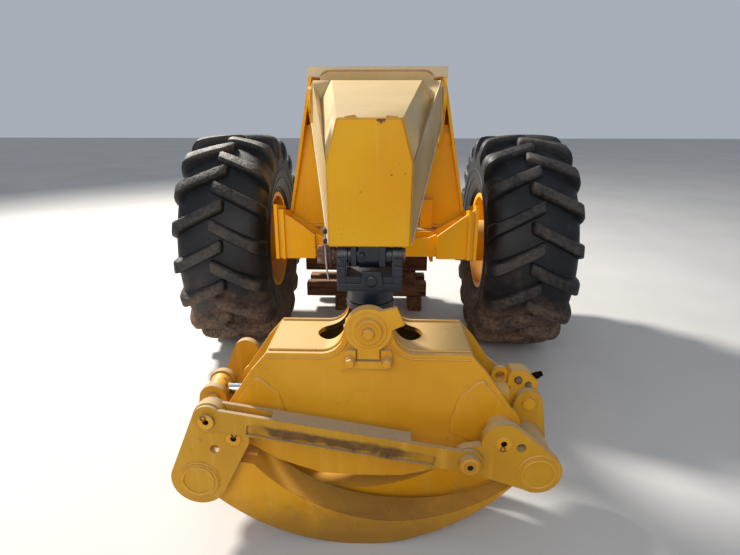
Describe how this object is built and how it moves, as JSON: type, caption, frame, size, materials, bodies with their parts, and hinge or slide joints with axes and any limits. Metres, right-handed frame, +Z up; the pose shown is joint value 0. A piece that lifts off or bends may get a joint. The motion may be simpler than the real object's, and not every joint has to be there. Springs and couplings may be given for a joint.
{
  "type": "grapple skidder rear section",
  "caption": "Rear half of an articulated log skidder: driven axle on forestry tyres, fixed arch, lift boom, swinging link, rotator and log grapple.",
  "frame": {"origin": "on the ground, at the middle of the bounding box in plan; the axle lies 0.555 m ahead of it", "axes": "+Y forwards, towards the frame hinge, +X to the right, +Z up"},
  "size_m": [2.636, 3.344, 1.985],
  "materials": {
    "yellow_paint": "weathered golden yellow paint, sun-bleached on top, dusty, worn at the edges",
    "dark_casting": "dark blue-black painted casting, oily and dusty",
    "tyre_rubber": "black rubber with dusty lugs and dried mud",
    "worn_steel": "bare steel with light rust",
    "chrome_rod": "polished cylinder rod",
    "weathered_timber": "weathered squared timber"
  },
  "bodies": {
    "root": {"rear_frame": "yellow_paint", "nose_box": "yellow_paint", "deck_plate": "yellow_paint", "frame_hinge": "yellow_paint", "foot_bracket": "yellow_paint", "axle_housing": "yellow_paint", "differential": "yellow_paint", "drive_flange": "worn_steel", "arch": "yellow_paint", "arch_hood": "yellow_paint", "boom_pivot_pin": "worn_steel", "wing_left": "yellow_paint", "wing_right": "yellow_paint", "rear_beam": "yellow_paint", "crib": "weathered_timber"},
    "wheel_left": {"hub_left": "yellow_paint", "rim_left": "yellow_paint", "tyre_left": "tyre_rubber"},
    "wheel_right": {"hub_right": "yellow_paint", "rim_right": "yellow_paint", "tyre_right": "tyre_rubber"},
    "boom": {"boom_shell": "yellow_paint", "boom_root": "yellow_paint", "boom_cap": "yellow_paint", "tip_lug": "dark_casting"},
    "lift_barrel": {"lift_barrel": "yellow_paint"},
    "lift_rod": {"lift_rod": "chrome_rod"},
    "link": {"link": "dark_casting", "link_pin": "worn_steel", "rotator_housing": "dark_casting"},
    "rotator": {"rotator_shaft": "worn_steel", "hanger_yoke": "dark_casting"},
    "head": {"head_shell": "yellow_paint", "hanger_pin": "yellow_paint", "pin_keeper": "yellow_paint", "tong_pins": "worn_steel"},
    "tong_left": {"tong_left": "yellow_paint", "tines_left": "yellow_paint"},
    "tong_right": {"tong_right": "yellow_paint", "tine_right": "yellow_paint", "ram_pin": "worn_steel"},
    "timing_link": {"timing_link": "yellow_paint"},
    "ram_barrel": {"ram_barrel": "yellow_paint", "ram_ports": "yellow_paint"},
    "ram_rod": {"ram_rod": "chrome_rod"}
  },
  "joints": [
    {"name": "wheel_left_spin", "type": "hinge", "parent": "root", "child": "wheel_left", "pos_m": [-1.015, 0.555, 0.785], "axis": [-1, 0, 0], "continuous": true},
    {"name": "wheel_right_spin", "type": "hinge", "parent": "root", "child": "wheel_right", "pos_m": [1.015, 0.555, 0.785], "axis": [-1, 0, 0], "continuous": true},
    {"name": "boom_lift", "type": "hinge", "parent": "root", "child": "boom", "pos_m": [0, 0.01, 1.79], "axis": [-1, 0, 0], "range_deg": [0, 40]},
    {"name": "lift_barrel_swing", "type": "hinge", "parent": "root", "child": "lift_barrel", "pos_m": [0, 0.705, 1.09], "axis": [-1, 0, 0], "range_deg": [-5, 20]},
    {"name": "lift_rod_slide", "type": "slide", "parent": "lift_barrel", "child": "lift_rod", "axis": [0, -0.9834, 0.1815], "range_m": [-0.01, 0.4]},
    {"name": "link_swing", "type": "hinge", "parent": "boom", "child": "link", "pos_m": [0, -1.335, 1.195], "axis": [1, 0, 0], "range_deg": [-35, 20]},
    {"name": "rotator_turn", "type": "hinge", "parent": "link", "child": "rotator", "pos_m": [0, -1.335, 1.04], "axis": [0, 0, 1], "range_deg": [-135, 135]},
    {"name": "head_sway", "type": "hinge", "parent": "rotator", "child": "head", "pos_m": [0, -1.335, 0.955], "axis": [0, 1, 0], "range_deg": [-12, 12]},
    {"name": "tongs_open", "type": "hinge", "parent": "head", "child": "tong_left", "pos_m": [-0.515, -1.335, 0.54], "axis": [0, 1, 0], "range_deg": [0, 100]},
    {"name": "tong_right_open", "type": "hinge", "parent": "head", "child": "tong_right", "pos_m": [0.515, -1.335, 0.54], "axis": [0, -1, 0], "range_deg": [0, 100]},
    {"name": "timing_link_turn", "type": "hinge", "parent": "tong_left", "child": "timing_link", "pos_m": [-0.601, -1.335, 0.636], "axis": [0, -1, 0], "range_deg": [0, 100]},
    {"name": "ram_barrel_turn", "type": "hinge", "parent": "tong_right", "child": "ram_barrel", "pos_m": [0.664, -1.315, 0.576], "axis": [0, 1, 0], "range_deg": [0, 100]},
    {"name": "ram_rod_slide", "type": "slide", "parent": "ram_barrel", "child": "ram_rod", "axis": [-1, 0, 0], "range_m": [-0.5, 0.01]}
  ],
  "couplings": [
    {"joint": "lift_barrel_swing", "follows": "boom_lift", "ratio": 0.41005},
    {"joint": "lift_rod_slide", "follows": "boom_lift", "m_per_rad": 0.44125},
    {"joint": "tong_right_open", "follows": "tongs_open", "ratio": 1},
    {"joint": "timing_link_turn", "follows": "tongs_open", "ratio": 1},
    {"joint": "ram_barrel_turn", "follows": "tongs_open", "ratio": 1},
    {"joint": "ram_rod_slide", "follows": "tongs_open", "m_per_rad": -0.24102}
  ]
}
